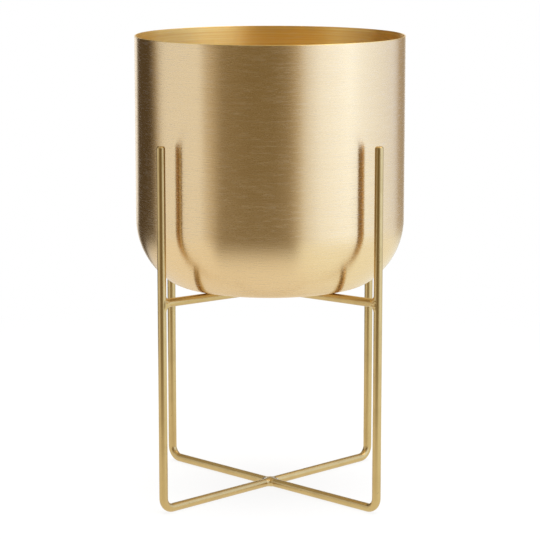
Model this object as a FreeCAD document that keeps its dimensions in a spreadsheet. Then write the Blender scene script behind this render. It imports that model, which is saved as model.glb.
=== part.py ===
import FreeCAD, Part
import math
import os

import Sketcher
from FreeCAD import Placement, Rotation, Vector

# A spun sheet-metal pot that stands loose in a stand of bent and welded round rod.
# Millimetres, +Z up. The origin is on the floor, under the middle of the stand.
# The front of the object looks towards -Y, and the uprights stand on the diagonals.

# Driving dimensions. A name that ends in share is a plain ratio.
SIZES = {
    # Pot: straight wall, wide rounded corner, tighter knuckle, flat base.
    "pot_diameter": 255,
    "pot_height": 236,
    "sheet_thickness": 1,
    "corner_radius": 71,
    "knuckle_radius": 31,
    "base_edge_share": 0.6,
    # Stand: one rod stock for the legs and for the bars under the pot.
    "rod_diameter": 8,
    "leg_clearance": 8.3,
    "leg_rise": 142.5,
    "rod_end_round": 2,
    "end_round_limit_share": 0.9,
    "bend_inner_radius": 7,
    "seat_height": 201.5,
    "seat_gap": 0.2,
    "crossbar_dip": 4,
    "crossbar_bend_radius": 150,
    "crossbar_level_margin": 1.2,
    # Weld fillets at the uprights and where the rods cross.
    "upright_weld_length": 3.6,
    "upright_weld_rise_over": 2.6,
    "upright_weld_rise_under": 3.8,
    "cross_weld_length": 2.8,
    "cross_weld_rise": 2.8,
    "weld_toe_share": 0.12,
    "weld_core_share": 0.9,
}

# Places and sizes that follow from the driving dimensions.
PLACES = {
    "pot_radius": "sizes.pot_diameter / 2",
    "rim_radius": "sizes.sheet_thickness / 2",
    "rim_height": "sizes.pot_height - rim_radius",
    # The flat of the base ends where the knuckle starts.
    "base_radius": "pot_radius - sizes.corner_radius"
                   " + sizes.base_edge_share * (sizes.corner_radius - sizes.knuckle_radius)",
    "rod_radius": "sizes.rod_diameter / 2",
    # Axis of an upright, measured from the middle of the stand along a diagonal.
    "leg_reach": "pot_radius + sizes.leg_clearance + rod_radius",
    "leg_top": "sizes.seat_height + sizes.leg_rise",
    "end_round": "min(sizes.rod_end_round; rod_radius * sizes.end_round_limit_share)",
    "bend_radius": "sizes.bend_inner_radius + rod_radius",
    # A bar is level where it crosses the other one, past the welds there, and then rises to its upright.
    "crossbar_level": "rod_radius + sizes.cross_weld_length + sizes.crossbar_level_margin",
    "crossbar_run": "leg_reach - crossbar_level",
    # Tangents of half the angle of that rise and of the whole angle.
    "half_rise_share": "sizes.crossbar_dip / (crossbar_run + sqrt(crossbar_run ^ 2"
                       " + sizes.crossbar_dip * (sizes.crossbar_dip - 2 * sizes.crossbar_bend_radius)))",
    "rise_share": "2 * half_rise_share / (1 - half_rise_share ^ 2)",
    # The edge of the base is what rests on the bars.
    "crossbar_end": "sizes.seat_height - sizes.seat_gap - rod_radius"
                    " + (leg_reach - base_radius) * rise_share",
    "crossbar_middle": "crossbar_end - sizes.crossbar_dip",
}

# Turns in degrees.
EIGHTH_TURN = math.degrees(math.pi / 4)
QUARTER_TURN = math.degrees(math.pi / 2)
HALF_TURN = math.degrees(math.pi)
FULL_TURN = math.degrees(math.tau)

# Direction of each upright from the middle, about +Z from +X.
AZIMUTHS = {
    "front_left": EIGHTH_TURN - HALF_TURN,
    "front_right": -EIGHTH_TURN,
    "back_left": HALF_TURN - EIGHTH_TURN,
    "back_right": EIGHTH_TURN,
}

# Where the sections of a weld fillet lie, from its root to its toe.
FILLET_SECTION_SHARES = (0, 0.15, 0.4, 0.7, 1)

# The numbers that a sketch gives to the points of an element, and to its own axes and origin.
START, END, CENTRE = range(1, 4)
HORIZONTAL_AXIS, VERTICAL_AXIS = range(-1, -3, -1)
ORIGIN = (HORIZONTAL_AXIS, START)

UP = Vector(0, 0, 1)
ALONG = Vector(1, 0, 0)
ACROSS = Vector(0, 1, 0)

document = FreeCAD.newDocument("planter_with_stand")


def fill_sheet(name, cells):
    """Write each entry of a table to a row of a sheet, its name first and its value under that alias."""
    sheet = document.addObject("Spreadsheet::Sheet", name)
    for row, (alias, content) in enumerate(cells.items(), 1):
        sheet.set(f"A{row}", alias)
        sheet.set(f"B{row}", str(content))
        sheet.setAlias(f"B{row}", alias)
    document.recompute()
    return sheet


sizes = fill_sheet("sizes", SIZES)
places = fill_sheet("places", {alias: "=" + formula for alias, formula in PLACES.items()})


def cell_value(cell):
    """The number that a cell such as places.leg_reach holds."""
    sheet, alias = cell.split(".")
    return float(getattr(document.getObject(sheet), alias))


def origin_plane(body, role):
    """One of a body's own base planes."""
    return next(feature for feature in body.Origin.OriginFeatures if feature.Role == role)


def new_sketch(body, name, role):
    """An empty sketch on one of the body's base planes."""
    sketch = body.newObject("Sketcher::SketchObject", name)
    sketch.AttachmentSupport = (origin_plane(body, role), [""])
    sketch.MapMode = "FlatFace"
    return sketch


def constrain(sketch, rules):
    """Add the geometric constraints, each a kind followed by the elements it joins."""
    sketch.addConstraint([Sketcher.Constraint(*rule) for rule in rules])


def dimension(sketch, rules):
    """Add dimensions, each a kind, the elements it measures and the cell that drives it."""
    for *measured, cell in rules:
        index = sketch.addConstraint(Sketcher.Constraint(*measured, cell_value(cell)))
        sketch.setExpression(f"Constraints[{index}]", cell)


def line(sketch, start, end):
    return sketch.addGeometry(Part.LineSegment(Vector(*start), Vector(*end)), False)


def arc(sketch, centre, radius, first, last):
    """An arc between two angles, in degrees, counted anticlockwise from the sketch's first axis."""
    circle = Part.Circle(Vector(*centre), UP, radius)
    return sketch.addGeometry(Part.ArcOfCircle(circle, math.radians(first), math.radians(last)), False)


def pot_section(body):
    """Half section of the sheet: out along the base, up the outside, over the rim, down the inside."""
    sketch = new_sketch(body, "pot_section", "XZ_Plane")
    thickness = sizes.sheet_thickness
    outer, inner = places.pot_radius, places.pot_radius - thickness
    base, rim = places.base_radius, places.rim_height
    corner, knuckle = sizes.corner_radius, sizes.knuckle_radius
    turn = math.degrees(math.asin(sizes.base_edge_share)) - QUARTER_TURN
    corner_height = knuckle + (corner - knuckle) * math.sqrt(1 - sizes.base_edge_share ** 2)
    knuckle_centre = (base, knuckle, 0)
    corner_centre = (outer - corner, corner_height, 0)

    underside = line(sketch, (0, 0, 0), (base, 0, 0))
    outer_knuckle = arc(sketch, knuckle_centre, knuckle, -QUARTER_TURN, turn)
    outer_corner = arc(sketch, corner_centre, corner, turn, 0)
    outer_wall = line(sketch, (outer, corner_height, 0), (outer, rim, 0))
    rim_edge = arc(sketch, (outer - places.rim_radius, rim, 0), places.rim_radius, 0, HALF_TURN)
    inner_wall = line(sketch, (inner, rim, 0), (inner, corner_height, 0))
    inner_corner = arc(sketch, corner_centre, corner - thickness, turn, 0)
    inner_knuckle = arc(sketch, knuckle_centre, knuckle - thickness, -QUARTER_TURN, turn)
    inside = line(sketch, (base, thickness, 0), (0, thickness, 0))
    axis = line(sketch, (0, thickness, 0), (0, 0, 0))

    constrain(sketch, [
        ("Tangent", underside, END, outer_knuckle, START),
        ("Tangent", outer_knuckle, END, outer_corner, START),
        ("Tangent", outer_corner, END, outer_wall, START),
        ("Tangent", outer_wall, END, rim_edge, START),
        ("Tangent", rim_edge, END, inner_wall, START),
        ("Tangent", inner_wall, END, inner_corner, END),
        ("Tangent", inner_corner, START, inner_knuckle, END),
        ("Tangent", inner_knuckle, START, inside, START),
        ("Coincident", inside, END, axis, START),
        ("Coincident", axis, END, underside, START),
        ("Coincident", underside, START, *ORIGIN),
        ("Coincident", inner_corner, CENTRE, outer_corner, CENTRE),
        ("Coincident", inner_knuckle, CENTRE, outer_knuckle, CENTRE),
        ("Horizontal", underside),
        ("Horizontal", inside),
        ("Vertical", outer_wall),
        ("Vertical", inner_wall),
        ("Vertical", axis),
    ])
    dimension(sketch, [
        ("Radius", outer_corner, "sizes.corner_radius"),
        ("Radius", outer_knuckle, "sizes.knuckle_radius"),
        ("Radius", rim_edge, "places.rim_radius"),
        ("DistanceX", *ORIGIN, underside, END, "places.base_radius"),
        ("DistanceX", *ORIGIN, outer_wall, START, "places.pot_radius"),
        ("DistanceY", *ORIGIN, outer_wall, END, "places.rim_height"),
    ])
    return sketch


def make_pot(label):
    """The sheet's half section turned about the pot's own axis, with the pot lifted to its seat."""
    body = document.addObject("PartDesign::Body", label)
    sketch = pot_section(body)
    spun = body.newObject("PartDesign::Revolution", "spun_shell")
    spun.Profile = sketch
    spun.ReferenceAxis = (sketch, ["V_Axis"])
    spun.Angle = FULL_TURN
    body.setExpression("Placement.Base.z", "sizes.seat_height")
    return body


def leg_path(body):
    """Down the upright, round the bend at the floor and along the rail to the middle."""
    sketch = new_sketch(body, "leg_path", "XZ_Plane")
    reach, rail = places.leg_reach, places.rod_radius
    bend = places.bend_radius
    upright = line(sketch, (reach, places.leg_top, 0), (reach, rail + bend, 0))
    elbow = arc(sketch, (reach - bend, rail + bend, 0), bend, -QUARTER_TURN, 0)
    floor_rail = line(sketch, (reach - bend, rail, 0), (0, rail, 0))
    constrain(sketch, [
        ("Tangent", upright, END, elbow, END),
        ("Tangent", elbow, START, floor_rail, START),
        ("Vertical", upright),
        ("Horizontal", floor_rail),
        ("PointOnObject", floor_rail, END, VERTICAL_AXIS),
    ])
    dimension(sketch, [
        ("Radius", elbow, "places.bend_radius"),
        ("DistanceX", *ORIGIN, upright, START, "places.leg_reach"),
        ("DistanceY", *ORIGIN, upright, START, "places.leg_top"),
        ("DistanceY", *ORIGIN, floor_rail, END, "places.rod_radius"),
    ])
    return sketch


def leg_section(body):
    """The round of the rod, at the top of the upright."""
    sketch = new_sketch(body, "leg_section", "XY_Plane")
    sketch.setExpression("AttachmentOffset.Base.z", "places.leg_top")
    centre = Vector(places.leg_reach, 0, 0)
    rod = sketch.addGeometry(Part.Circle(centre, UP, places.rod_radius), False)
    constrain(sketch, [("PointOnObject", rod, CENTRE, HORIZONTAL_AXIS)])
    dimension(sketch, [
        ("Radius", rod, "places.rod_radius"),
        ("DistanceX", *ORIGIN, rod, CENTRE, "places.leg_reach"),
    ])
    return sketch


def crossbar_rise():
    """The angle in degrees at which a bar rises towards its upright."""
    return math.degrees(math.atan(places.rise_share))


def crossbar_path(body):
    """Level in the middle, then a shallow bend, then out and slightly up to the axis of an upright."""
    sketch = new_sketch(body, "crossbar_path", "XZ_Plane")
    flat, middle = places.crossbar_level, places.crossbar_middle
    bend, rise = sizes.crossbar_bend_radius, crossbar_rise()
    bend_end = (flat + bend * math.sin(math.radians(rise)),
                middle + bend * (1 - math.cos(math.radians(rise))), 0)
    level = line(sketch, (0, middle, 0), (flat, middle, 0))
    shallow = arc(sketch, (flat, middle + bend, 0), bend, -QUARTER_TURN, rise - QUARTER_TURN)
    run = line(sketch, bend_end, (places.leg_reach, places.crossbar_end, 0))
    constrain(sketch, [
        ("Tangent", level, END, shallow, START),
        ("Tangent", shallow, END, run, START),
        ("Horizontal", level),
        ("PointOnObject", level, START, VERTICAL_AXIS),
    ])
    dimension(sketch, [
        ("Radius", shallow, "sizes.crossbar_bend_radius"),
        ("DistanceX", *ORIGIN, level, END, "places.crossbar_level"),
        ("DistanceY", *ORIGIN, level, START, "places.crossbar_middle"),
        ("DistanceX", *ORIGIN, run, END, "places.leg_reach"),
        ("DistanceY", *ORIGIN, run, END, "places.crossbar_end"),
    ])
    return sketch


def crossbar_section(body):
    """The round of the rod, in the middle of the stand."""
    sketch = new_sketch(body, "crossbar_section", "YZ_Plane")
    centre = Vector(0, places.crossbar_middle, 0)
    rod = sketch.addGeometry(Part.Circle(centre, UP, places.rod_radius), False)
    constrain(sketch, [("PointOnObject", rod, CENTRE, VERTICAL_AXIS)])
    dimension(sketch, [
        ("Radius", rod, "places.rod_radius"),
        ("DistanceY", *ORIGIN, rod, CENTRE, "places.crossbar_middle"),
    ])
    return sketch


def bent_rod(label, path, section, corner, continuous):
    """A rod swept along its path to one corner, and mirrored to the opposite corner where continuous."""
    body = document.addObject("PartDesign::Body", label)
    rod = body.newObject("PartDesign::AdditivePipe", "rod")
    spine = path(body)
    rod.Profile = section(body)
    document.recompute()
    rod.Spine = (spine, [f"Edge{number}" for number, _ in enumerate(spine.Shape.Edges, 1)])
    body.Tip = rod
    if continuous:
        both = body.newObject("PartDesign::Mirrored", "both_sides")
        both.Originals = [rod]
        both.MirrorPlane = (origin_plane(body, "YZ_Plane"), [""])
        body.Tip = both
    body.Placement = Placement(Vector(), Rotation(UP, AZIMUTHS[corner]))
    document.recompute()
    return body


def round_tops(body):
    """Round the cut ends of the uprights: the edges that lie wholly at the top."""
    rod = body.Tip
    lowest = places.leg_top - places.rod_radius
    edges = enumerate(rod.Shape.Edges, 1)
    tops = [f"Edge{number}" for number, edge in edges if edge.BoundBox.ZMin > lowest]
    rounded = body.newObject("PartDesign::Fillet", "rounded_tops")
    rounded.Base = (rod, tops)
    rounded.setExpression("Radius", "places.end_round")
    body.Tip = rounded
    document.recompute()
    return body


def make_leg(label, corner, continuous=False):
    return round_tops(bent_rod(label, leg_path, leg_section, corner, continuous))


def make_crossbar(label, corner, continuous=False):
    return bent_rod(label, crossbar_path, crossbar_section, corner, continuous)


def seated(label, blank, mates):
    """A blank rod cut back to the faces of the rods that it meets."""
    piece = blank
    for mate in mates:
        cut = document.addObject("Part::Cut", f"{label}_on_{mate.Label}")
        cut.Base = piece
        cut.Tool = mate
        cut.Refine = False
        piece = cut
    document.recompute()
    if len(piece.Shape.Solids) != 1 or not piece.Shape.Volume < blank.Shape.Volume:
        raise ValueError(f"{label} does not seat on its neighbours")
    piece.Label = label
    return piece


def fillet_collar(length, rise_over, rise_under, both_ways=False):
    """A collar about +X that flares towards the joint at its start.

    Every section is an ellipse. Over and under the rod it stands out by a hollow quarter round that
    dips under the rod's face at the toe, and sideways it stays inside the rod.
    """
    radius = places.rod_radius
    toe_height = radius - sizes.weld_toe_share * (rise_over + rise_under) / 2
    sections = []
    for share in FILLET_SECTION_SHARES:
        hollow = 1 - math.sqrt(1 - (1 - share) ** 2)
        sections.append((radius + length * share, hollow - sizes.weld_toe_share * share))
    if both_ways:
        sections = [(-along, lift) for along, lift in reversed(sections)] + sections
    else:
        sections.insert(0, (0, 1))
    wires = []
    for along, lift in sections:
        over = radius + rise_over * lift
        under = radius + rise_under * lift
        middle = Vector(along, 0, (over - under) / 2)
        tall = middle + UP * ((over + under) / 2)
        wide = middle + ACROSS * (toe_height * sizes.weld_core_share)
        wires.append(Part.Wire([Part.Ellipse(tall, wide, middle).toShape()]))
    return Part.makeLoft(wires, True, True)


def weld(label, collar, placement, rods, fillets):
    """What a collar leaves outside the rods that it joins: a known number of separate fillets."""
    collar.Placement = placement
    for rod in rods:
        collar = collar.cut(rod.Shape)
    if len(collar.Solids) != fillets:
        raise ValueError(f"{label} does not seat on its rods")
    piece = document.addObject("Part::Feature", label)
    piece.Shape = Part.makeCompound(collar.Solids)
    return piece


def upright_weld(corner, *rods):
    """The fillets over and under the end of a bar, where it meets its upright."""
    collar = fillet_collar(sizes.upright_weld_length, sizes.upright_weld_rise_over,
                           sizes.upright_weld_rise_under)
    inwards = Placement(Vector(places.leg_reach, 0, places.crossbar_end),
                        Rotation(ACROSS, -crossbar_rise()) * Rotation(UP, HALF_TURN))
    turned = Placement(Vector(), Rotation(UP, AZIMUTHS[corner]))
    return weld(f"upright_weld_{corner}", collar, turned * inwards, rods, fillets=2)


def cross_welds(label, height, corner, *rods):
    """The fillets in the four corners of a crossing, in the plane of its rods."""
    collar = fillet_collar(sizes.cross_weld_length, sizes.cross_weld_rise, sizes.cross_weld_rise,
                           both_ways=True)
    flat = Rotation(UP, AZIMUTHS[corner]) * Rotation(ALONG, QUARTER_TURN)
    return weld(label, collar, Placement(UP * height, flat), rods, fillets=4)


def make_stand():
    """The legs first, then the bars that are coped onto them, then the welds in their corners."""
    leg_frame = make_leg("leg_frame", "front_right", continuous=True)
    leg_rods = {corner: make_leg(f"{corner}_leg_rod", corner) for corner in ("front_left", "back_right")}
    legs = {corner: seated(f"{corner}_leg", rod, [leg_frame]) for corner, rod in leg_rods.items()}

    crossbar_rod = make_crossbar("crossbar_rod", "back_right", continuous=True)
    crossbar = seated("crossbar", crossbar_rod, legs.values())
    bar_rods = {corner: make_crossbar(f"{corner}_bar_rod", corner) for corner in ("front_right", "back_left")}
    half_bars = [seated(f"{corner}_half_crossbar", rod, [crossbar, leg_frame])
                 for corner, rod in bar_rods.items()]

    welds = [upright_weld(corner, rod, crossbar_rod) for corner, rod in leg_rods.items()]
    welds += [upright_weld(corner, leg_frame, rod) for corner, rod in bar_rods.items()]
    welds.append(cross_welds("floor_cross_welds", places.rod_radius, "back_right",
                             leg_frame, *leg_rods.values()))
    welds.append(cross_welds("crossbar_cross_welds", places.crossbar_middle, "front_right",
                             crossbar_rod, *bar_rods.values()))
    return [leg_frame, *legs.values(), crossbar, *half_bars, *welds]


def check(pieces):
    """Stop on a failed object, or on a piece without a sound shape."""
    for item in document.Objects:
        if {"Invalid", "Error"} & set(item.State):
            raise ValueError(f"{item.Label} failed: {item.State}")
    for piece in pieces:
        shape = piece.Shape
        if shape.isNull() or not shape.isValid() or not shape.Solids:
            raise ValueError(f"{piece.Label} has no sound shape")


def export(pieces):
    """Write each piece to a file that carries its name."""
    os.makedirs("parts", exist_ok=True)
    for piece in pieces:
        piece.Shape.exportStep(os.path.join("parts", f"{piece.Label}.step"))
        print(f"{piece.Label}: {len(piece.Shape.Solids)} solids, {piece.Shape.Volume:.1f} mm3")


pieces = [make_pot("planter_pot"), *make_stand()]
document.recompute()
check(pieces)
export(pieces)
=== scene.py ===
import math
from typing import NamedTuple

import bpy
import numpy as np
from bpy.props import FloatProperty, FloatVectorProperty, PointerProperty
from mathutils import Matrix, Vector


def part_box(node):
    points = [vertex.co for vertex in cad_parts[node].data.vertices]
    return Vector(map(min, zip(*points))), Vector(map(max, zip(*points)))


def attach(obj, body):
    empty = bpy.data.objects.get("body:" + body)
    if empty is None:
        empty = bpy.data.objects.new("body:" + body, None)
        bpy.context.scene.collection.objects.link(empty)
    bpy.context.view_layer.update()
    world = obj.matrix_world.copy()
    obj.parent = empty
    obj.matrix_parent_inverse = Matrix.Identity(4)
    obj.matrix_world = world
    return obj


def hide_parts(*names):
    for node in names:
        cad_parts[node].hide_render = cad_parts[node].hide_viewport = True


bl_info = {
    "name": "Planter with stand",
    "version": (1, 0, 0),
    "blender": (4, 5, 0),
    "location": "View3D > Sidebar > Planter",
    "description": "A brushed brass pot in a stand of bent and welded rod, with a small studio",
    "category": "Object",
}

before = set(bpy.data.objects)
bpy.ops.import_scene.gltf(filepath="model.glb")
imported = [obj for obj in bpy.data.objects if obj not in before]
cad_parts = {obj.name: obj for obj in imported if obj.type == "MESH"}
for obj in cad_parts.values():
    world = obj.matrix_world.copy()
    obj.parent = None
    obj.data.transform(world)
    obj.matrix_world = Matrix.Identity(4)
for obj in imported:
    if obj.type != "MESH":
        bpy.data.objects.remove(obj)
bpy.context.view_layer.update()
POT_LOW, POT_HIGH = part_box("planter_pot")
LEG_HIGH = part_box("leg_frame")[1]

# Directions of the uprights about +Z from +X. The front of the object looks towards -Y.
EIGHTH_TURN = math.pi / 4
QUARTER_TURN = math.pi / 2
AZIMUTHS = {
    "front_left": -3 * EIGHTH_TURN,
    "front_right": -EIGHTH_TURN,
    "back_left": 3 * EIGHTH_TURN,
    "back_right": EIGHTH_TURN,
}
UP = np.array([0.0, 0.0, 1.0])

# Steps of the meshes.
POT_SIDES = 288
BASE_STEPS = 24
KNUCKLE_STEPS = 18
CORNER_STEPS = 36
WALL_STEPS = 40
RIM_STEPS = 10
ROD_SIDES = 48
BEND_STEPS = 28
ROUND_STEPS = 8
WELD_SIDES = 120
WELD_STEPS = 48
PANEL_STEPS = 48
PANEL_ROWS = 8
FLOOR_SIDES = 96

# Radius of the first ring round the middle of the pot's base, as a share of the base.
BASE_HUB = 0.025
# The cut ends inside the joints are only eased, by this radius in metres.
CUT_EASE = 0.0001
# Weld metal lies this far under the rods' surface where there is no fillet, in metres.
WELD_SINK = 0.00008
# A weld's skin is looked for up to this many reaches outside the rods, by so many halvings.
WELD_SEARCH = 1.5
WELD_HALVINGS = 30
# The front right weld was laid in lumps, more than the others.
LUMPS = {"front_right": 2.5}
# Phases of the ripples: a step from one upright to the next, and one phase at the crossings.
UPRIGHT_PHASE = 1.3
CROSSING_PHASE = 0.9


class Mark(NamedTuple):
    """Noise that marks a finish, and what the mark changes there.

    Its features have a length along x and y and a width along the third value, in metres. The
    mark begins where the noise passes start, and it is whole at full. Tint is its share of
    another colour. Rough, coat and relief are what it adds to the roughness, the coat and the
    height of the surface. The shift sets its pattern apart from the others, and detail and
    harshness say how finely and how strongly it breaks up.
    """

    length: float
    width: float
    start: float = 0.0
    full: float = 1.0
    tint: float = 0.0
    rough: float = 0.0
    coat: float = 0.0
    relief: float = 0.0
    shift: float = 0.0
    detail: float = 2.0
    harshness: float = 0.5


# Marks on the pot. Their length lies round it and their width across the brushing.
FINE_LINES = Mark(0.026, 0.0006, start=0.62, full=0.32, tint=0.24, rough=0.06, coat=0.05,
                  detail=3.0, harshness=0.65)
SCRATCHES = Mark(0.012, 0.00072, start=0.52, full=0.70, rough=0.06, coat=0.80, shift=37.0,
                 detail=1.0)
STROKES = Mark(0.014, 0.001, shift=11.0, detail=1.0)
BANDS = Mark(0.11, 0.0045, start=0.62, full=0.38, tint=0.12)
CLOUDS = Mark(0.05, 0.04, rough=0.03)
TURNING_LINES = Mark(0.20, 0.0011, start=0.38, full=0.62, rough=0.07, relief=0.06, shift=71.0,
                     detail=3.0, harshness=0.7)
# Marks on the rods, as wide as they are long.
ROD_GRAIN = Mark(0.0006, 0.0006, rough=0.06)
WORN_PATCHES = Mark(0.02, 0.02, start=0.42, full=0.72, tint=0.5, rough=0.05, detail=3.0)
ROD_PORES = Mark(0.0017, 0.0017, start=0.73, full=0.80, tint=0.45, relief=-0.6, shift=11.0,
                 detail=1.0)
# Marks on the welds, as wide as they are long.
# The pale sides at the floor crossing are bare weld metal and a painted highlight.
WELD_GRAIN = Mark(0.0011, 0.0011, rough=0.12, detail=3.0, harshness=0.6)
WELD_PORES = Mark(0.0015, 0.0015, start=0.68, full=0.78, tint=0.8, relief=-1.0, shift=5.0,
                  detail=1.0)
BARE_FLECKS = Mark(0.0032, 0.0032, start=0.52, full=0.62, tint=0.12, rough=-0.06, shift=17.0)
HIGHLIGHT_AND_BARE_SIDES = BARE_FLECKS._replace(start=0.34, full=0.48, tint=0.95)

# Strength of the relief in each finish, and its depth in metres.
POT_RELIEF = (0.25, 0.0003)
ROD_RELIEF = (0.10, 0.0002)
WELD_RELIEF = (0.25, 0.0003)
# The brushing lies round the pot, so its blur is turned by a quarter to lie upright.
BLUR_TURN = 0.25
# Thin clear coat in which the light scratches show, and the share of the inside that is lacquer.
COAT_WEIGHT = 0.02
COAT_ROUGHNESS = 0.45
COAT_INDEX = 1.9
INSIDE_LACQUER = 0.10
# Strokes and scratches keep this share on the pot's lower corner. They grow to the whole between
# these heights over the foot of the wall, in metres.
CORNER_BRUSHING = 0.35
BRUSH_FADE = (-0.0215, 0.0075)
# Half the width of the line at which the inside's finish begins, in metres.
RIM_BLEND = 0.0005
# The bare sides, with their painted highlight, begin and are full where x is so much longer than
# y, and fade out between these heights, in metres.
HIGHLIGHT_SIDE_REACH = (0.0005, 0.0025)
HIGHLIGHT_SIDE_HEIGHT = (0.03, 0.01)

# Panels round the stage: distance, foot and the height about which an edge leans, in metres.
PANEL_DISTANCE = 1.15
PANEL_FOOT = -0.4
PANEL_MIDDLE = 0.23
# Angles from straight ahead of the front, in degrees, with the shares of a panel's light there.
LEFT_STOPS = (
    (-115, 0.0), (-108, 0.22), (-103.5, 0.54), (-100.5, 0.82), (-97, 1.0), (-56.5, 1.0),
    (-54.5, 0.76), (-52.5, 0.56), (-48.5, 0.43), (-43.5, 0.28), (-37, 0.12), (-30, 0.07),
    (-16, 0.0),
)
RIGHT_STOPS = (
    (3, 0.0), (13, 0.11), (22, 0.40), (30, 0.64), (41, 0.84), (58, 0.94), (67, 1.0), (81, 0.88),
    (95, 0.81), (110, 0.74), (122, 0.69), (130, 0.58), (137, 0.40), (149, 0.34), (160, 0.28),
)
# Share of the light up to which a panel fades in with its warm edge colour.
EDGE_SHARE = 0.4
# Lean of a panel's first edge, in degrees for each metre of height, and its heights at both ends.
LEFT_LEAN, LEFT_TOPS = -19.0, (0.45, 1.7)
RIGHT_LEAN, RIGHT_TOPS = 0.0, (1.7, 1.7)

# Round lamp over the stage, in metres and watts.
LAMP_SIZE = 1.8
LAMP_HEIGHT = 2.2
LAMP_POWER = 70.0

# Round floor, in metres.
FLOOR_RADIUS = 1.6
# Sectors in which the floor is dim to the metal, in front and behind: the direction, then the
# cosines from it and the distances in metres at which the dimness begins and is full.
FRONT_SECTOR = ((-0.20, -0.98, 0.0), (0.77, 0.89), (0.28, 0.76))
BACK_SECTOR = ((-0.74, 0.67, 0.0), (0.86, 0.94), (0.64, 0.79))
# Places from left to right, in metres, between which the floor turns to the right panel's light
# painted on it.
RIGHT_PANEL_LIGHT_PLACES = (-0.02, 0.30)
# Share of the floor that shows the shade on it, and the distances in metres over which that ends.
SHADE_SHARE = 0.12
SHADE_FADE = (0.3, 0.9)

# Parts of the room that the metal sees. Each begins and is full at two values of a direction: the
# front of its y, the light above of its z, that light's right half of its x, and the white behind
# the object of its cosine from the way back.
ROOM_FRONT = (-0.35, -0.85)
ROOM_ABOVE = (0.42, 0.80)
ROOM_RIGHT = (0.15, 0.50)
ROOM_BACK = (0.90, 0.95)
WAY_BACK = (-0.08, 0.9968, 0.0)
WHITE = (1.0, 1.0, 1.0, 1.0)

# Camera: place in metres, pitch below level in radians, lens and sensor in millimetres.
CAMERA_PLACE = (0.0, -2.13245, 0.59023)
CAMERA_PITCH = 0.1751
CAMERA_LENS = 150.77
CAMERA_SENSOR = 36.0


def length_property(name, description, default):
    """A length in metres."""
    return FloatProperty(name=name, description=description, default=default, min=0.0,
                         unit="LENGTH", precision=4)


def share_property(name, description, default):
    """A share from 0 to 1."""
    return FloatProperty(name=name, description=description, default=default, min=0.0, max=1.0,
                         subtype="FACTOR", precision=3)


def colour_property(name, description, default):
    """A colour, or the colour and strength of a light, which may pass 1."""
    return FloatVectorProperty(name=name, description=description, default=default, size=3,
                               min=0.0, soft_max=1.0, subtype="COLOR")


class PotSizes(bpy.types.PropertyGroup):
    """Sizes of the spun pot."""

    diameter: length_property("Diameter", "Across the outside of the wall", 2 * POT_HIGH.x)
    height: length_property("Height", "From the underside to the top of the rim",
                            POT_HIGH.z - POT_LOW.z)
    seat: length_property("Seat height", "From the floor to the underside", POT_LOW.z)
    sheet: length_property("Sheet", "Thickness of the spun sheet", 0.001)
    corner: length_property("Corner radius", "Outside radius of the wide lower corner", 0.071)
    knuckle: length_property("Knuckle radius", "Outside radius of the tighter bend at the base",
                             0.031)
    base_edge: share_property("Base edge", "Sine of the angle at which knuckle and corner meet",
                              0.6)


class StandSizes(bpy.types.PropertyGroup):
    """Sizes of the bent rods."""

    rod: length_property("Rod diameter", "Diameter of the rod stock", 0.008)
    clearance: length_property("Clearance", "Gap between the pot's wall and an upright", 0.0083)
    top: length_property("Top of uprights", "From the floor to the rounded ends", LEG_HIGH.z)
    end_round: length_property("End round", "Radius on the cut ends of the uprights", 0.002)
    bend: length_property("Bend radius", "Inner radius of the bends at the floor", 0.007)
    seat_gap: length_property("Seat gap", "Room between the base's edge and the crossbars", 0.0002)
    dip: length_property("Crossbar dip", "How far the crossbars sink towards the middle", 0.004)
    dip_bend: length_property("Dip bend radius", "Radius of the crossbars' shallow bends", 0.15)
    level: length_property("Level run", "Half length of a crossbar's level run in the middle",
                           0.008)


class WeldSizes(bpy.types.PropertyGroup):
    """Sizes of the weld fillets."""

    over: length_property("Fillet over a bar", "Reach of the weld over a bar at its upright",
                          0.0042)
    under: length_property("Fillet under a bar", "Reach of the weld under a bar at its upright",
                           0.0060)
    beside: length_property("Fillet beside", "Reach of the welds where the rods' sides run close",
                            0.0026)
    crossing: length_property("Crossing fillet", "Reach of the welds in the corners of a crossing",
                              0.0046)
    ripple: length_property("Ripple", "Height of the ripples in a weld's face", 0.00010)


class BrassColours(bpy.types.PropertyGroup):
    """Colours of the finishes."""

    pot: colour_property("Pot brass", "Brushed sheet of the pot", (0.89, 0.665, 0.365))
    pot_line: colour_property("Brush lines", "Darker bottoms of the brush lines",
                              (0.80, 0.58, 0.31))
    # The inside colours are the same brass made brighter and deeper: partly a turned finish,
    # partly painted light for the inside of the pot.
    inside: colour_property("Inside", "Deeper gold inside the pot", (1.0, 0.745, 0.265))
    inside_line: colour_property("Turning lines", "Turning lines inside the pot",
                                 (0.93, 0.635, 0.19))
    rod: colour_property("Rod brass", "Satin plating of the rods", (0.652, 0.472, 0.203))
    rod_worn: colour_property("Worn rod", "Plating that handling has dulled", (0.56, 0.40, 0.165))
    weld: colour_property("Weld", "Plating over the weld fillets", (0.67, 0.49, 0.215))
    # The bare colour is also a painted highlight on the sides of the floor crossing.
    bare: colour_property("Bare weld", "Weld metal where the plating is thin", (0.82, 0.78, 0.66))
    # The pit colour darkens the sunken pores of the rods and the welds.
    pit: colour_property("Pits", "Dirt in pores and pits", (0.10, 0.065, 0.03))


class BrassSheen(bpy.types.PropertyGroup):
    """Roughness of the finishes between their marks."""

    pot: share_property("Pot roughness", "Roughness of the brushed sheet", 0.215)
    brushing: share_property("Brushing", "How much wider the brushed sheet blurs upright", 0.95)
    inside: share_property("Inside roughness", "What the turned inside adds to it", 0.09)
    rod: share_property("Rod roughness", "Roughness of the satin plating", 0.28)
    weld: share_property("Weld roughness", "Roughness of the plating over the welds", 0.28)


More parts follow.
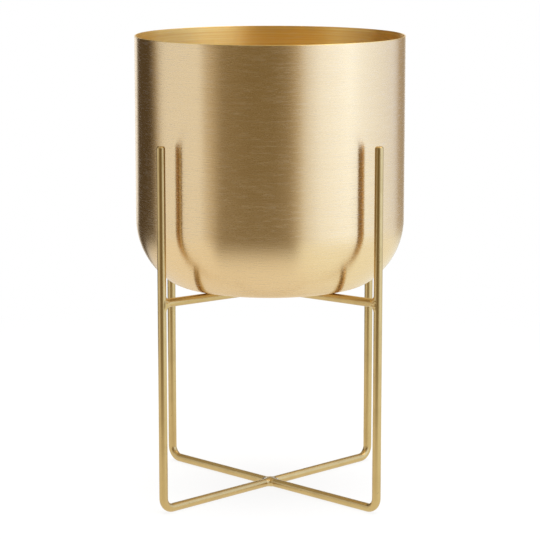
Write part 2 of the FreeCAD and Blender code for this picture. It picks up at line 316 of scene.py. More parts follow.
class StudioSettings(bpy.types.PropertyGroup):
    """Colours of the stage."""

    floor: colour_property("Floor", "Pale floor", (0.91, 0.89, 0.85))
    # Painted light: the right panel's light on the floor, as the metal sees it.
    right_panel_light_on_floor: colour_property("Right floor", "Floor under the right panel, seen in the metal",
                                 (0.96, 1.01, 0.98))
    far_floor: colour_property("Far floor", "Unlit floor before the object, seen in the metal",
                               (0.185, 0.135, 0.07))
    room: colour_property("Room", "Dim room beside the stage, seen in the metal",
                          (0.085, 0.062, 0.036))
    front: colour_property("Front", "Room on the camera's side, seen in the metal",
                           (0.19, 0.14, 0.064))
    above: colour_property("Above", "Soft light over the stage, seen in the metal",
                           (0.60, 0.55, 0.43))
    above_right: colour_property("Above right", "Brighter right half of the light over the stage",
                                 (3.0, 2.6, 2.0))
    edge: colour_property("Panel edge", "Warm light at the edges of the panels",
                          (0.45, 0.385, 0.30))
    left: colour_property("Left panel", "Light of the left soft panel", (0.84, 0.885, 1.00))
    right: colour_property("Right panel", "Light of the right soft panel", (1.20, 1.45, 2.05))


class Wire:
    """An output of a shader node, on which sums, products and quotients add Math nodes."""

    def __init__(self, shader, socket):
        self.shader = shader
        self.socket = socket

    def beside(self, name):
        """Another output of the same node."""
        return Wire(self.shader, self.socket.node.outputs[name])

    def __add__(self, other):
        return self.shader.maths("ADD", self, other)

    def __radd__(self, other):
        return self.shader.maths("ADD", other, self)

    def __sub__(self, other):
        return self.shader.maths("SUBTRACT", self, other)

    def __rsub__(self, other):
        return self.shader.maths("SUBTRACT", other, self)

    def __mul__(self, other):
        return self.shader.maths("MULTIPLY", self, other)

    def __rmul__(self, other):
        return self.shader.maths("MULTIPLY", other, self)

    def __truediv__(self, other):
        return self.shader.maths("DIVIDE", self, other)

    def __rtruediv__(self, other):
        return self.shader.maths("DIVIDE", other, self)

    def __abs__(self):
        return self.shader.maths("ABSOLUTE", self)


class Shader:
    """The node tree of a material or of the room."""

    def __init__(self, owner):
        owner.use_nodes = True
        self.owner = owner
        self.tree = owner.node_tree
        self.tree.nodes.clear()

    def node(self, kind, settings=None, inputs=None, output=0):
        """Add a node, set its settings or a ramp's stops, then its sockets' values or wires."""
        node = self.tree.nodes.new(kind)
        for name, value in (settings or {}).items():
            if name == "stops":
                elements = node.color_ramp.elements
                elements[0].position, elements[1].position = value[0][0], value[-1][0]
                elements[0].color, elements[1].color = value[0][1], value[-1][1]
                for place, colour in value[1:-1]:
                    elements.new(place).color = colour
            else:
                setattr(node, name, value)
        for name, value in (inputs or {}).items():
            if isinstance(value, Wire):
                self.tree.links.new(value.socket, node.inputs[name])
            else:
                node.inputs[name].default_value = value
        return Wire(self, node.outputs[output]) if node.outputs else node

    def maths(self, operation, *values):
        """A value worked out from values."""
        return self.node("ShaderNodeMath", {"operation": operation}, dict(enumerate(values)))

    def vector_maths(self, operation, *vectors):
        """A value worked out from vectors."""
        return self.node("ShaderNodeVectorMath", {"operation": operation},
                         dict(enumerate(vectors)), "Value")

    def split(self, vector):
        """The three values of a point or a direction."""
        x = self.node("ShaderNodeSeparateXYZ", {}, {0: vector})
        return [x.beside(axis) for axis in "XYZ"]

    def place(self):
        """The place on the object, in metres."""
        return self.node("ShaderNodeTexCoord", output="Object")

    def skin(self):
        """The way round or across a skin and the way along it, from its UV map."""
        return self.split(self.node("ShaderNodeTexCoord", output="UV"))[:2]

    def noise(self, place, mark):
        """The noise of a mark at a place of three values."""
        x, y, across = place
        point = self.node("ShaderNodeCombineXYZ", {}, {
            "X": x / mark.length, "Y": y / mark.length, "Z": across / mark.width + mark.shift})
        return self.node("ShaderNodeTexNoise", {}, {
            "Vector": point, "Scale": 1.0, "Detail": mark.detail, "Roughness": mark.harshness})

    def step(self, value, low, high):
        """A smooth step from 0 at low to 1 at high."""
        return self.node("ShaderNodeMapRange", {"interpolation_type": "SMOOTHSTEP"},
                         {"Value": value, "From Min": low, "From Max": high})

    def share(self, noise, mark):
        """How far a mark has come, from 0 to 1, at a value of its noise."""
        return self.step(noise, mark.start, mark.full)

    def mix(self, share, first, second):
        """The first colour where the share is 0 and the second where it is 1."""
        # A Mix node has its colours in sockets 6 and 7 and the mixed colour in output 2.
        inputs = {0: share, 6: first, 7: second}
        return self.node("ShaderNodeMix", {"data_type": "RGBA"}, inputs, 2)

    def blend(self, share, first, second):
        """The first surface where the share is 0 and the second where it is 1."""
        return self.node("ShaderNodeMixShader", {}, {0: share, 1: first, 2: second})

    def ramp(self, value, stops):
        """Brightness between stops of (value, brightness)."""
        grey = [(place, opaque((level,) * 3)) for place, level in stops]
        return self.node("ShaderNodeValToRGB", {"stops": grey}, {0: value})

    def glow(self, colour):
        """A surface that gives light of a colour."""
        return self.node("ShaderNodeEmission", {}, {"Color": colour, "Strength": 1.0})

    def bump(self, height, strength, depth):
        """The direction of a surface with the height as its relief."""
        return self.node("ShaderNodeBump", {}, {"Height": height, "Strength": strength,
                                                "Distance": depth})

    def finish(self, surface):
        """Join the finished surface to the output of the tree."""
        world = isinstance(self.owner, bpy.types.World)
        self.node("ShaderNodeOutputWorld" if world else "ShaderNodeOutputMaterial", {},
                  {"Surface": surface})


def opaque(colour):
    """A colour with full alpha, as sockets take it."""
    return (*colour, 1.0)


def new_material(name):
    """A material and its empty node tree."""
    material = bpy.data.materials.new(name)
    return material, Shader(material)


def brushed_brass(colours, sheen, rim, foot):
    """Sheet brushed round the pot outside, and turning lines inside on a brighter, deeper gold
    that is partly painted light.

    Fine lines and faint bands change the colour. Strokes raise the surface, which makes the edges
    of reflections ragged, and sparse scratches catch light in a thin coat. Both are weaker on the
    lower corner. The rim is the distance along the skin at which the inside begins, and the foot
    is the height at which the wall does.
    """
    material, shader = new_material("brushed_brass_finish")
    x, y, z = shader.split(shader.place())
    along = shader.skin()[1]
    fine, scratch, stroke, band, rings = (
        shader.noise((x, y, along), mark)
        for mark in (FINE_LINES, SCRATCHES, STROKES, BANDS, TURNING_LINES))
    cloud = shader.noise((x, y, z), CLOUDS)
    inside = shader.step(along, rim - RIM_BLEND, rim + RIM_BLEND)
    grown = shader.step(z, *(foot + height for height in BRUSH_FADE))
    wall = CORNER_BRUSHING + (1 - CORNER_BRUSHING) * grown
    light = shader.share(scratch, SCRATCHES) * wall
    turned = shader.share(rings, TURNING_LINES)
    line = (shader.share(fine, FINE_LINES) * FINE_LINES.tint
            + shader.share(band, BANDS) * BANDS.tint)
    outer = shader.mix(line, opaque(colours.pot), opaque(colours.pot_line))
    # Painted light: the inside's gold is brighter and deeper than the outside's.
    inner = shader.mix(turned, opaque(colours.inside), opaque(colours.inside_line))
    rough = sheen.pot + fine * FINE_LINES.rough + cloud * CLOUDS.rough + light * SCRATCHES.rough
    height = stroke * wall * (1 - inside) + inside * rings * TURNING_LINES.relief
    shader.finish(shader.node("ShaderNodeBsdfPrincipled", {}, {
        "Base Color": shader.mix(inside, outer, inner),
        "Metallic": 1 - inside * INSIDE_LACQUER,
        "Roughness": rough + inside * (sheen.inside + turned * TURNING_LINES.rough),
        "Anisotropic": sheen.brushing,
        "Anisotropic Rotation": BLUR_TURN,
        "Coat Weight": COAT_WEIGHT + light * SCRATCHES.coat + fine * FINE_LINES.coat,
        "Coat Roughness": COAT_ROUGHNESS,
        "Coat IOR": COAT_INDEX,
        "Normal": shader.bump(height, *POT_RELIEF),
    }))
    return material


def satin_brass(colours, sheen):
    """Plated rod: a fine even grain, patches that handling has dulled and a few pores."""
    material, shader = new_material("satin_brass_finish")
    place = shader.split(shader.place())
    grain, patches, spots = (shader.noise(place, mark)
                             for mark in (ROD_GRAIN, WORN_PATCHES, ROD_PORES))
    worn = shader.share(patches, WORN_PATCHES)
    pore = shader.share(spots, ROD_PORES)
    colour = shader.mix(worn * WORN_PATCHES.tint, opaque(colours.rod), opaque(colours.rod_worn))
    shader.finish(shader.node("ShaderNodeBsdfPrincipled", {}, {
        "Base Color": shader.mix(pore * ROD_PORES.tint, colour, opaque(colours.pit)),
        "Metallic": 1.0,
        "Roughness": sheen.rod + grain * ROD_GRAIN.rough + worn * WORN_PATCHES.rough,
        "Normal": shader.bump(grain + pore * ROD_PORES.relief, *ROD_RELIEF),
    }))
    return material


def plated_weld(colours, sheen):
    """Plating over weld metal: grain, dark sunken pores and bare silvery flecks.

    Both sides of the weld at the floor crossing, left and right of its middle, are mostly pale:
    bare metal with a painted highlight.
    """
    material, shader = new_material("plated_weld_finish")
    place = x, y, z = shader.split(shader.place())
    grain, spots, flecks = (shader.noise(place, mark)
                            for mark in (WELD_GRAIN, WELD_PORES, BARE_FLECKS))
    pore = shader.share(spots, WELD_PORES)
    # Painted highlight, with bare metal, on both sides of the floor crossing's weld.
    sides = shader.step(abs(x) - abs(y), *HIGHLIGHT_SIDE_REACH) * shader.step(z, *HIGHLIGHT_SIDE_HEIGHT)
    bare = (shader.share(flecks, HIGHLIGHT_AND_BARE_SIDES) * sides * HIGHLIGHT_AND_BARE_SIDES.tint
            + shader.share(flecks, BARE_FLECKS) * BARE_FLECKS.tint)
    colour = shader.mix(bare, opaque(colours.weld), opaque(colours.bare))
    shader.finish(shader.node("ShaderNodeBsdfPrincipled", {}, {
        "Base Color": shader.mix(pore * WELD_PORES.tint, colour, opaque(colours.pit)),
        "Metallic": 1.0,
        "Roughness": sheen.weld + grain * WELD_GRAIN.rough + bare * BARE_FLECKS.rough,
        "Normal": shader.bump(grain + pore * WELD_PORES.relief, *WELD_RELIEF),
    }))
    return material


def circle_arc(centre, radius, first, last, steps):
    """Points centre + radius * (cos a, sin a) for angles a that run evenly from first to last."""
    a = np.linspace(first, last, steps + 1)
    return np.stack([centre[0] + radius * np.cos(a), centre[1] + radius * np.sin(a)], axis=1)


def straight(start, end, steps):
    """Points that run evenly from start to end."""
    return np.linspace(start, end, steps + 1)


def joined(*runs):
    """Runs of points one after another, without the points that two runs share."""
    return np.concatenate([runs[0]] + [run[1:] for run in runs[1:]])


def full_turn(sides):
    """Angles that go evenly round, without the last, which would be the first again."""
    return np.arange(sides) * math.tau / sides


def outwards(azimuth):
    """The level direction (cos t, sin t, 0) at an angle t about the upright axis."""
    return np.array([math.cos(azimuth), math.sin(azimuth), 0.0])


def closed_skin(rings, poles):
    """Rings of points joined by quads, with a fan to a pole at each end.

    rings[i, j] is point j of ring i, counted so that the way round times the way along points out.
    The UV map holds the share of the way round and the distance along the skin in metres.
    Returns the points, the faces and the UV pair of each face corner.
    """
    rows, columns = rings.shape[:2]
    points = np.concatenate([rings.reshape(-1, 3), poles])
    here = np.arange(rows * columns).reshape(rows, columns)
    ahead = np.roll(here, -1, axis=1)
    first_pole, last_pole = (np.full(columns, rows * columns + pole) for pole in (0, 1))
    quads = np.stack([here[:-1], ahead[:-1], ahead[1:], here[1:]], axis=-1).reshape(-1, 4)
    fans = np.concatenate([np.stack([first_pole, ahead[0], here[0]], axis=-1),
                           np.stack([here[-1], ahead[-1], last_pole], axis=-1)])

    spine = np.concatenate([poles[:1], rings[:, 0], poles[1:]])
    way = np.concatenate([[0], np.cumsum(np.linalg.norm(np.diff(spine, axis=0), axis=1))])
    turn = np.arange(columns) / columns
    after = turn + 1 / columns
    low, high = way[1:-2, None], way[2:-1, None]
    quad_uv = np.broadcast_arrays(turn, low, after, low, after, high, turn, high)
    first_uv = np.broadcast_arrays(turn, way[0], after, way[1], turn, way[1])
    last_uv = np.broadcast_arrays(turn, way[-2], after, way[-2], turn, way[-1])
    corners = np.concatenate([np.stack(part, axis=-1).reshape(-1, 2)
                              for part in (quad_uv, first_uv, last_uv)])
    return points, quads.tolist() + fans.tolist(), corners


def add_object(name, data):
    """An object in the scene, at the origin, with a mesh, a light or a camera."""
    item = bpy.data.objects.new(name, data)
    bpy.context.scene.collection.objects.link(item)
    return item


def make_piece(name, skin, material, body, node):
    """A smooth mesh of a closed skin that rides on a body and stands for a CAD node."""
    points, faces, corners = skin
    mesh = bpy.data.meshes.new(name)
    mesh.from_pydata(points.tolist(), [], faces)
    mesh.uv_layers.new(name="surface").data.foreach_set("uv", corners.ravel())
    mesh.polygons.foreach_set("use_smooth", np.ones(len(faces), dtype=bool))
    mesh.materials.append(material)
    mesh.update()
    piece = add_object(name, mesh)
    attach(piece, body)
    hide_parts(node)


def base_radius(pot):
    """Radius of the pot's flat base, at which the knuckle begins."""
    return pot.diameter / 2 - pot.corner + pot.base_edge * (pot.corner - pot.knuckle)


def wall_foot(pot):
    """Height at which the pot's corner ends and its straight wall begins."""
    drop = (pot.corner - pot.knuckle) * math.sqrt(1 - pot.base_edge ** 2)
    return pot.seat + pot.knuckle + drop


def pot_half_section(pot):
    """Radius and height along the sheet: out along the base, up, over the rim and back inside.

    The base runs flat into the knuckle's arc, the knuckle into the corner's arc and the corner
    into the wall. The inner face has the same centres with radii smaller by the sheet's thickness.
    """
    radius, sheet, base, foot = pot.diameter / 2, pot.sheet, base_radius(pot), wall_foot(pot)
    knuckle_centre = (base, pot.seat + pot.knuckle)
    corner_centre = (radius - pot.corner, foot)
    meeting = math.asin(pot.base_edge) - QUARTER_TURN
    rim = pot.seat + pot.height - sheet / 2

    def face(inset):
        floor, wall = pot.seat + inset, radius - inset
        return joined(
            straight((base * BASE_HUB, floor), (base, floor), BASE_STEPS),
            circle_arc(knuckle_centre, pot.knuckle - inset, -QUARTER_TURN, meeting, KNUCKLE_STEPS),
            circle_arc(corner_centre, pot.corner - inset, meeting, 0, CORNER_STEPS),
            straight((wall, foot), (wall, rim), WALL_STEPS),
        )

    edge = circle_arc((radius - sheet / 2, rim), sheet / 2, 0, math.pi, RIM_STEPS)
    return joined(face(0), edge, face(sheet)[::-1])


def pot_skin(pot):
    """The half section turned about the upright axis: (r cos t, r sin t, z)."""
    r, z = pot_half_section(pot).T[:, :, None]
    t = full_turn(POT_SIDES)
    rings = np.stack(np.broadcast_arrays(r * np.cos(t), r * np.sin(t), z), axis=-1)
    return closed_skin(rings, z[[0, -1]] * UP)


def bent_line(corners, radius):
    """Points and directions of straight runs through corners in a plane, rounded by tangent arcs.

    An arc leaves its corner's first run radius * tan(bend / 2) before the corner. From the arc's
    centre its points lie radius * (run * sin a - side * cos a) away, for angles a from 0 to the
    bend.
    """
    corners = np.array(corners, dtype=float)
    runs = np.diff(corners, axis=0)
    runs /= np.linalg.norm(runs, axis=1)[:, None]
    points, headings = [corners[:1]], [runs[:1]]
    for corner, run, next_run in zip(corners[1:-1], runs[:-1], runs[1:]):
        bend = math.atan2(run[0] * next_run[1] - run[1] * next_run[0], run @ next_run)
        side = math.copysign(1, bend) * np.array([-run[1], run[0]])
        a = np.linspace(0, abs(bend), BEND_STEPS + 1)[:, None]
        centre = corner - run * radius * math.tan(abs(bend) / 2) + side * radius
        points.append(centre + radius * (run * np.sin(a) - side * np.cos(a)))
        headings.append(run * np.cos(a) + side * np.sin(a))
    return np.concatenate(points + [corners[-1:]]), np.concatenate(headings + [runs[-1:]])


def rounded_end(point, heading, radius, end_round):
    """Points, headings and radii of the rings on a rounded end, from the end inwards.

    The rings lie end_round * (1 - sin a) from the end and have the radius less
    end_round * (1 - cos a), for angles a from a quarter turn to 0.
    """
    a = np.linspace(QUARTER_TURN, 0, ROUND_STEPS + 1)
    return (point + heading * (end_round * (1 - np.sin(a)))[:, None],
            np.repeat(heading[None], len(a), axis=0), radius - end_round * (1 - np.cos(a)))


def rod_skin(line, azimuth, radius, start_round=CUT_EASE, end_round=CUT_EASE):
    """A round rod along a line in an upright plane through the axis of the stand.

    A ring is point + radius * (sideways cos a + (heading x sideways) sin a), with sideways square
    to the plane. At the ends the rings draw in towards the flats.
    """
    points, headings = line
    first, first_headings, first_radii = rounded_end(points[0], headings[0], radius, start_round)
    last, last_headings, last_radii = (
        part[::-1] for part in rounded_end(points[-1], -headings[-1], radius, end_round))
    radii = np.concatenate([first_radii, np.full(len(points) - 2, radius), last_radii])
    points = np.concatenate([first, points[1:-1], last])
    headings = np.concatenate([first_headings, headings[1:-1], -last_headings])
    out = outwards(azimuth)
    sideways = np.cross(out, UP)
    centres = points[:, :1] * out + points[:, 1:] * UP
    forward = headings[:, :1] * out + headings[:, 1:] * UP
    third = np.cross(forward, sideways)
    a = full_turn(ROD_SIDES)[:, None]
    ring = sideways * np.cos(a) + third[:, None] * np.sin(a)
    rings = centres[:, None] + radii[:, None, None] * ring
    return closed_skin(rings, centres[[0, -1]])


def upright_reach(scene):
    """Distance of an upright's axis from the axis of the stand."""
    pot, stand = scene.planter_pot, scene.planter_stand
    return pot.diameter / 2 + stand.clearance + stand.rod / 2


def crossbar_heights(scene):
    """Heights of a crossbar's axis in the middle and at its upright, and the corner of its dip.

    With run the distance from the level part to the upright, R the bend's radius and d the dip,
    the tangent of half the rise is d / (run + sqrt(run ** 2 + d * (d - 2 R))). The bar clears the
    edge of the pot's base by the seat gap.
    """
    pot, stand = scene.planter_pot, scene.planter_stand
    reach = upright_reach(scene)
    run = reach - stand.level
    root = math.sqrt(run ** 2 + stand.dip * (stand.dip - 2 * stand.dip_bend))
    half = stand.dip / (run + root)
    rise = 2 * half / (1 - half ** 2)
    end = pot.seat - stand.seat_gap - stand.rod / 2 + (reach - base_radius(pot)) * rise
    return end - stand.dip, end, stand.level + stand.dip_bend * half


def weld_metal(centre, bar, rod, one_way, radius, reaches, ripple, phase):
    """Weld metal in the corners of two round rods whose axes meet at the centre, as a closed skin.

    In each direction u from the centre the skin lies where the smooth union of the rods ends. With
    d and e the distances to the surfaces of bar and rod and R the reach, that is where
    min(d, e) - R h h / 4 is 0, with h = 1 - |d - e| / R and not below 0. It is found by halving
    steps. Where there is no weld the skin lies a hair inside the rods. Behind the centre of a bar
    that goes one way, twice the way back is added to d. The reach turns from over through beside
    to under the bar. Ripples ride on h: in a direction (i, j, k) of the bar's own axes they are
    sin(6 i + 7 j + phase) * cos(8 k - phase) + 0.7 sin(13 j - 6 k + 2 phase).
    """
    third = np.cross(bar, rod)
    third /= np.linalg.norm(third)
    q = np.linspace(-QUARTER_TURN, QUARTER_TURN, WELD_STEPS + 1)[:, None]
    turn = full_turn(WELD_SIDES)
    ways = np.broadcast_arrays(np.cos(q) * np.cos(turn), np.cos(q) * np.sin(turn), np.sin(q))
    u = np.stack(ways, axis=-1) @ np.stack([bar, np.cross(third, bar), third])
    off_bar = np.linalg.norm(np.cross(u, bar), axis=-1) + one_way * 2 * np.maximum(-u @ bar, 0)
    off_rod = np.linalg.norm(np.cross(u, rod), axis=-1)
    over, under, beside = reaches
    upper = 0.5 + 0.5 * np.sin(turn)
    reach = np.cos(q) ** 2 * (over * upper + under * (1 - upper)) + np.sin(q) ** 2 * beside

    def filled(r):
        return (1 - np.abs(r * off_bar - r * off_rod) / reach).clip(0)

    low = np.full(reach.shape, radius)
    high = low + WELD_SEARCH * max(over, under)
    for _ in range(WELD_HALVINGS):
        r = (low + high) / 2
        inside = r * np.minimum(off_bar, off_rod) - radius < reach * filled(r) ** 2 / 4
        low, high = np.where(inside, r, low), np.where(inside, high, r)
    i, j, k = ways
    wave = (np.sin(6 * i + 7 * j + phase) * np.cos(8 * k - phase)
            + 0.7 * np.sin(13 * j - 6 * k + 2 * phase))
    skin = centre + u * (low - WELD_SINK + ripple * wave * filled(low))[..., None]
    return closed_skin(skin[1:-1], skin[[0, -1], 0])


class PLANTER_OT_make_pot(bpy.types.Operator):
    """Spin the brushed sheet of the pot, inside and out"""

    bl_idname = "planter.make_pot"
    bl_label = "Make pot"

    def execute(self, context):
        scene = context.scene
        pot = scene.planter_pot
        skin = pot_skin(pot)
        # The outside ends at the rim, halfway along the skin.
        rim = skin[2][:, 1].max() / 2
        material = brushed_brass(scene.planter_colours, scene.planter_sheen, rim, wall_foot(pot))
        make_piece("pot", skin, material, "pot", "planter_pot")
        return {"FINISHED"}


class PLANTER_OT_make_legs(bpy.types.Operator):
    """Bend the through leg frame and the two legs that are welded to it"""

    bl_idname = "planter.make_legs"
    bl_label = "Make legs"

    def execute(self, context):
        scene = context.scene
        stand = scene.planter_stand
        reach, rail, top = upright_reach(scene), stand.rod / 2, stand.top
        bend = stand.bend + rail
        frame_line = bent_line([(reach, top), (reach, rail), (-reach, rail), (-reach, top)], bend)
        leg_line = bent_line([(reach, top), (reach, rail), (0, rail)], bend)
        material = satin_brass(scene.planter_colours, scene.planter_sheen)
        skin = rod_skin(frame_line, AZIMUTHS["front_right"], rail, stand.end_round,
                        stand.end_round)
        make_piece("leg_frame_rod", skin, material, "stand", "leg_frame")
        for corner in ("front_left", "back_right"):
            skin = rod_skin(leg_line, AZIMUTHS[corner], rail, stand.end_round)
            make_piece(f"{corner}_leg_rod", skin, material, "stand",
                       f"{corner}_leg")
        return {"FINISHED"}


class PLANTER_OT_make_crossbars(bpy.types.Operator):
    """Bend the crossbars that carry the pot"""

    bl_idname = "planter.make_crossbars"
    bl_label = "Make crossbars"

    def execute(self, context):
        scene = context.scene
        stand = scene.planter_stand
        reach, radius = upright_reach(scene), stand.rod / 2
        middle, end, dip_corner = crossbar_heights(scene)
        half = [(dip_corner, middle), (reach, end)]
        other_half = [(-reach, end), (-dip_corner, middle)]
        through_line = bent_line(other_half + half, stand.dip_bend)
        half_line = bent_line([(0, middle)] + half, stand.dip_bend)
        material = (bpy.data.materials.get("satin_brass_finish")
                    or satin_brass(scene.planter_colours, scene.planter_sheen))
        skin = rod_skin(through_line, AZIMUTHS["back_right"], radius)
        make_piece("crossbar_rod", skin, material, "stand", "crossbar")
        for corner in ("front_right", "back_left"):
            skin = rod_skin(half_line, AZIMUTHS[corner], radius)
            make_piece(f"{corner}_half_bar_rod", skin, material, "stand",
                       f"{corner}_half_crossbar")
        return {"FINISHED"}


class PLANTER_OT_make_welds(bpy.types.Operator):
    """Lay the weld fillets at the uprights and at the two crossings"""

    bl_idname = "planter.make_welds"
    bl_label = "Make welds"

    def execute(self, context):
        scene = context.scene
        weld, radius = scene.planter_weld, scene.planter_stand.rod / 2
        reach = upright_reach(scene)
        middle, end, dip_corner = crossbar_heights(scene)
        material = plated_weld(scene.planter_colours, scene.planter_sheen)
        reaches = (weld.over, weld.under, weld.beside)
        for number, (corner, azimuth) in enumerate(AZIMUTHS.items()):
            out = outwards(azimuth)
            inwards = -out * (reach - dip_corner) - UP * (end - middle)
            inwards /= np.linalg.norm(inwards)
            skin = weld_metal(out * reach + UP * end, inwards, UP, True, radius, reaches,
                              weld.ripple * LUMPS.get(corner, 1.0), UPRIGHT_PHASE * number)
            make_piece(f"{corner}_weld", skin, material, "stand",
                       f"upright_weld_{corner}")
        one, other = (outwards(AZIMUTHS[corner]) for corner in ("front_right", "back_right"))
        reaches = (weld.crossing, weld.crossing, weld.beside)
        for name, height in (("floor_cross", radius), ("crossbar_cross", middle)):
            skin = weld_metal(height * UP, one, other, False, radius, reaches, weld.ripple,
                              CROSSING_PHASE)
            # The welds of a crossing are ground flush with the undersides of the rods.
            skin[0][:, 2] = skin[0][:, 2].clip(height - radius)
            make_piece(f"{name}_welds_metal", skin, material, "stand",
                       f"{name}_welds")
        return {"FINISHED"}


def lay_floor(studio):
    """A round floor, white to the camera and pale to the metal, with the shade that falls on it.

    In a sector in front of the object and in one behind it the metal sees it dim.
    """
    t = full_turn(FLOOR_SIDES)
    points = FLOOR_RADIUS * np.stack([np.cos(t), np.sin(t), np.zeros_like(t)], axis=1)
    mesh = bpy.data.meshes.new("floor")
    mesh.from_pydata(points.tolist(), [], [list(range(FLOOR_SIDES))])
    material, shader = new_material("pale_floor")
    camera = shader.node("ShaderNodeLightPath", output="Is Camera Ray")
    mirrored = shader.maths("MAXIMUM", camera.beside("Is Glossy Ray"),
                            camera.beside("Is Transmission Ray"))
    place = shader.place()
    x = shader.split(place)[0]
    away = shader.vector_maths("LENGTH", place)

    def sector(way, cosines, distances):
        across = shader.step(shader.vector_maths("DOT_PRODUCT", place, way) / away, *cosines)
        return across, shader.step(away, *distances) * across

    _, dim_before = sector(*FRONT_SECTOR)
    behind, dim_behind = sector(*BACK_SECTOR)
    # Painted light of the right panel on the floor under it, seen in the metal.
    right = shader.step(x, *RIGHT_PANEL_LIGHT_PLACES)
    near = shader.mix(right, opaque(studio.floor), opaque(studio.right_panel_light_on_floor))
    far = shader.mix(behind, opaque(studio.far_floor), opaque(studio.room))
    light = shader.mix(mirrored, WHITE, near)
    light = shader.mix((dim_before + dim_behind) * mirrored, light, far)
    matt = shader.node("ShaderNodeBsdfDiffuse", {}, {"Color": opaque(studio.floor)})
    seen = camera * (1 - SHADE_SHARE + SHADE_SHARE * shader.step(away, *SHADE_FADE)) + mirrored
    shader.finish(shader.blend(seen, matt, shader.glow(light)))
    mesh.materials.append(material)
    add_object("floor", mesh)


def hang_panel(name, stops, lean, tops, edge, colour):
    """An upright curved panel round the stage, whose light changes from end to end.

    Its points are distance * (sin a, -cos a), with a the angle from straight ahead of the object's
    front, positive to the right. The stops are angles with shares of the light. Up to EDGE_SHARE
    the warm edge colour fades in over what is behind, and above it turns to the panel's colour.
    The first edge leans by an angle for each metre of height above the middle. The top runs
    straight from the first of its heights to the last.
    """
    first, last = stops[0][0], stops[-1][0]
    share = np.linspace(0, 1, PANEL_STEPS + 1)
    rise = np.linspace(0, 1, PANEL_ROWS + 1)[:, None]
    z = PANEL_FOOT + (tops[0] + (tops[1] - tops[0]) * share - PANEL_FOOT) * rise
    a = np.radians(first + (last - first) * share + lean * (z - PANEL_MIDDLE) * (1 - share))
    points = np.stack([PANEL_DISTANCE * np.sin(a), -PANEL_DISTANCE * np.cos(a), z], axis=-1)
    number = np.arange(z.size).reshape(z.shape)
    quads = np.stack([number[:-1, :-1], number[1:, :-1], number[1:, 1:], number[:-1, 1:]], axis=-1)
    quads = quads.reshape(-1, 4)
    mesh = bpy.data.meshes.new(name)
    mesh.from_pydata(points.reshape(-1, 3).tolist(), [], quads.tolist())
    place = np.stack(np.broadcast_arrays(share, rise), axis=-1).reshape(-1, 2)
    mesh.uv_layers.new(name="surface").data.foreach_set("uv", place[quads.ravel()].ravel())
    material, shader = new_material(name)
    light = shader.ramp(shader.skin()[0],
                        [((angle - first) / (last - first), level) for angle, level in stops])
    glow = shader.mix((light - EDGE_SHARE) / (1 - EDGE_SHARE), opaque(edge), opaque(colour))
    clear = shader.node("ShaderNodeBsdfTransparent")
    shader.finish(shader.blend(light / EDGE_SHARE, clear, shader.glow(glow)))
    mesh.materials.append(material)
    panel = add_object(name, mesh)
    panel.visible_camera = False


def hang_lamp():
    """A wide round lamp over the stage, which neither the camera nor the metal sees."""
    light = bpy.data.lights.new("ceiling_panel", "AREA")
    light.shape = "DISK"
    light.size = LAMP_SIZE
    light.energy = LAMP_POWER
    lamp = add_object("ceiling_panel", light)
    lamp.location = (0.0, 0.0, LAMP_HEIGHT)
    lamp.visible_camera = False
    lamp.visible_glossy = False


def light_room(scene, studio):
    """White to the camera. To the metal dim, lit from above and white behind the object."""
    scene.world = bpy.data.worlds.new("studio")
    shader = Shader(scene.world)
    direction = shader.node("ShaderNodeTexCoord", output="Generated")
    x, y, z = shader.split(direction)
    back = shader.vector_maths("DOT_PRODUCT", direction, WAY_BACK)
    right = shader.step(x, *ROOM_RIGHT)
    above = shader.mix(right, opaque(studio.above), opaque(studio.above_right))
    colour = shader.mix(shader.step(y, *ROOM_FRONT), opaque(studio.room), opaque(studio.front))
    colour = shader.mix(shader.step(z, *ROOM_ABOVE), colour, above)
    colour = shader.mix(shader.step(back, *ROOM_BACK), colour, WHITE)
    camera = shader.node("ShaderNodeLightPath", output="Is Camera Ray")
    room, white = (shader.node("ShaderNodeBackground", {}, {"Color": light, "Strength": 1.0})
                   for light in (colour, WHITE))
    shader.finish(shader.blend(camera, room, white))


def place_camera(scene):
    """A long lens a little above the object, pitched down at it."""
    lens = bpy.data.cameras.new("camera")
    lens.sensor_width = CAMERA_SENSOR
    lens.lens = CAMERA_LENS
    camera = add_object("camera", lens)
    camera.location = CAMERA_PLACE
    camera.rotation_euler = (QUARTER_TURN - CAMERA_PITCH, 0.0, 0.0)
    scene.camera = camera


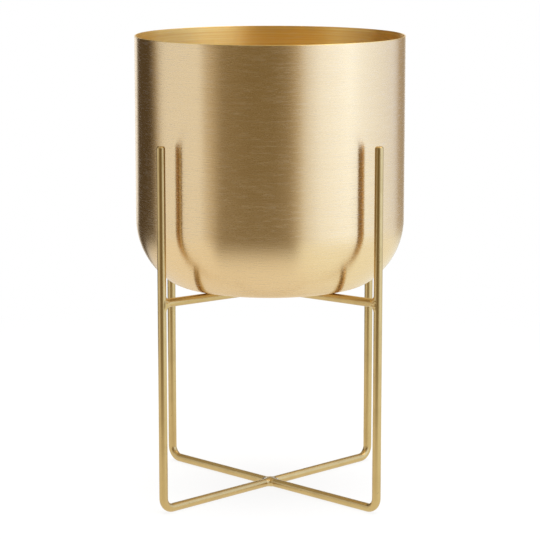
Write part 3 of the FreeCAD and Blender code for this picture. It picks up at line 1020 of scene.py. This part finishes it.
class PLANTER_OT_set_stage(bpy.types.Operator):
    """Set the pale floor, the soft panels, the lamp, the room and the camera"""

    bl_idname = "planter.set_stage"
    bl_label = "Set stage"

    def execute(self, context):
        scene = context.scene
        studio = scene.planter_studio
        scene.view_settings.view_transform = "Standard"
        lay_floor(studio)
        hang_panel("left_panel", LEFT_STOPS, LEFT_LEAN, LEFT_TOPS, studio.edge, studio.left)
        hang_panel("right_panel", RIGHT_STOPS, RIGHT_LEAN, RIGHT_TOPS, studio.edge, studio.right)
        hang_lamp()
        light_room(scene, studio)
        place_camera(scene)
        return {"FINISHED"}


STEPS = (
    PLANTER_OT_make_pot,
    PLANTER_OT_make_legs,
    PLANTER_OT_make_crossbars,
    PLANTER_OT_make_welds,
    PLANTER_OT_set_stage,
)
SETTINGS = {
    "planter_pot": PotSizes,
    "planter_stand": StandSizes,
    "planter_weld": WeldSizes,
    "planter_colours": BrassColours,
    "planter_sheen": BrassSheen,
    "planter_studio": StudioSettings,
}


class PLANTER_PT_sidebar(bpy.types.Panel):
    """Steps and settings of the planter"""

    bl_idname = "PLANTER_PT_sidebar"
    bl_label = "Planter with stand"
    bl_space_type = "VIEW_3D"
    bl_region_type = "UI"
    bl_category = "Planter"

    def draw(self, context):
        for step in STEPS:
            self.layout.operator(step.bl_idname)
        for name, group in SETTINGS.items():
            box = self.layout.box()
            box.label(text=group.__doc__)
            for setting in group.__annotations__:
                box.prop(getattr(context.scene, name), setting)


CLASSES = (*SETTINGS.values(), *STEPS, PLANTER_PT_sidebar)


def register():
    """Add the classes to Blender and the settings to its scenes."""
    for item in CLASSES:
        bpy.utils.register_class(item)
    for name, group in SETTINGS.items():
        setattr(bpy.types.Scene, name, PointerProperty(type=group))


def unregister():
    """Take the settings and the classes away again."""
    for name in SETTINGS:
        delattr(bpy.types.Scene, name)
    for item in reversed(CLASSES):
        bpy.utils.unregister_class(item)


def main():
    """Make the pieces and the stage."""
    register()
    bpy.ops.planter.make_pot()
    bpy.ops.planter.make_legs()
    bpy.ops.planter.make_crossbars()
    bpy.ops.planter.make_welds()
    bpy.ops.planter.set_stage()


if __name__ == "__main__":
    main()
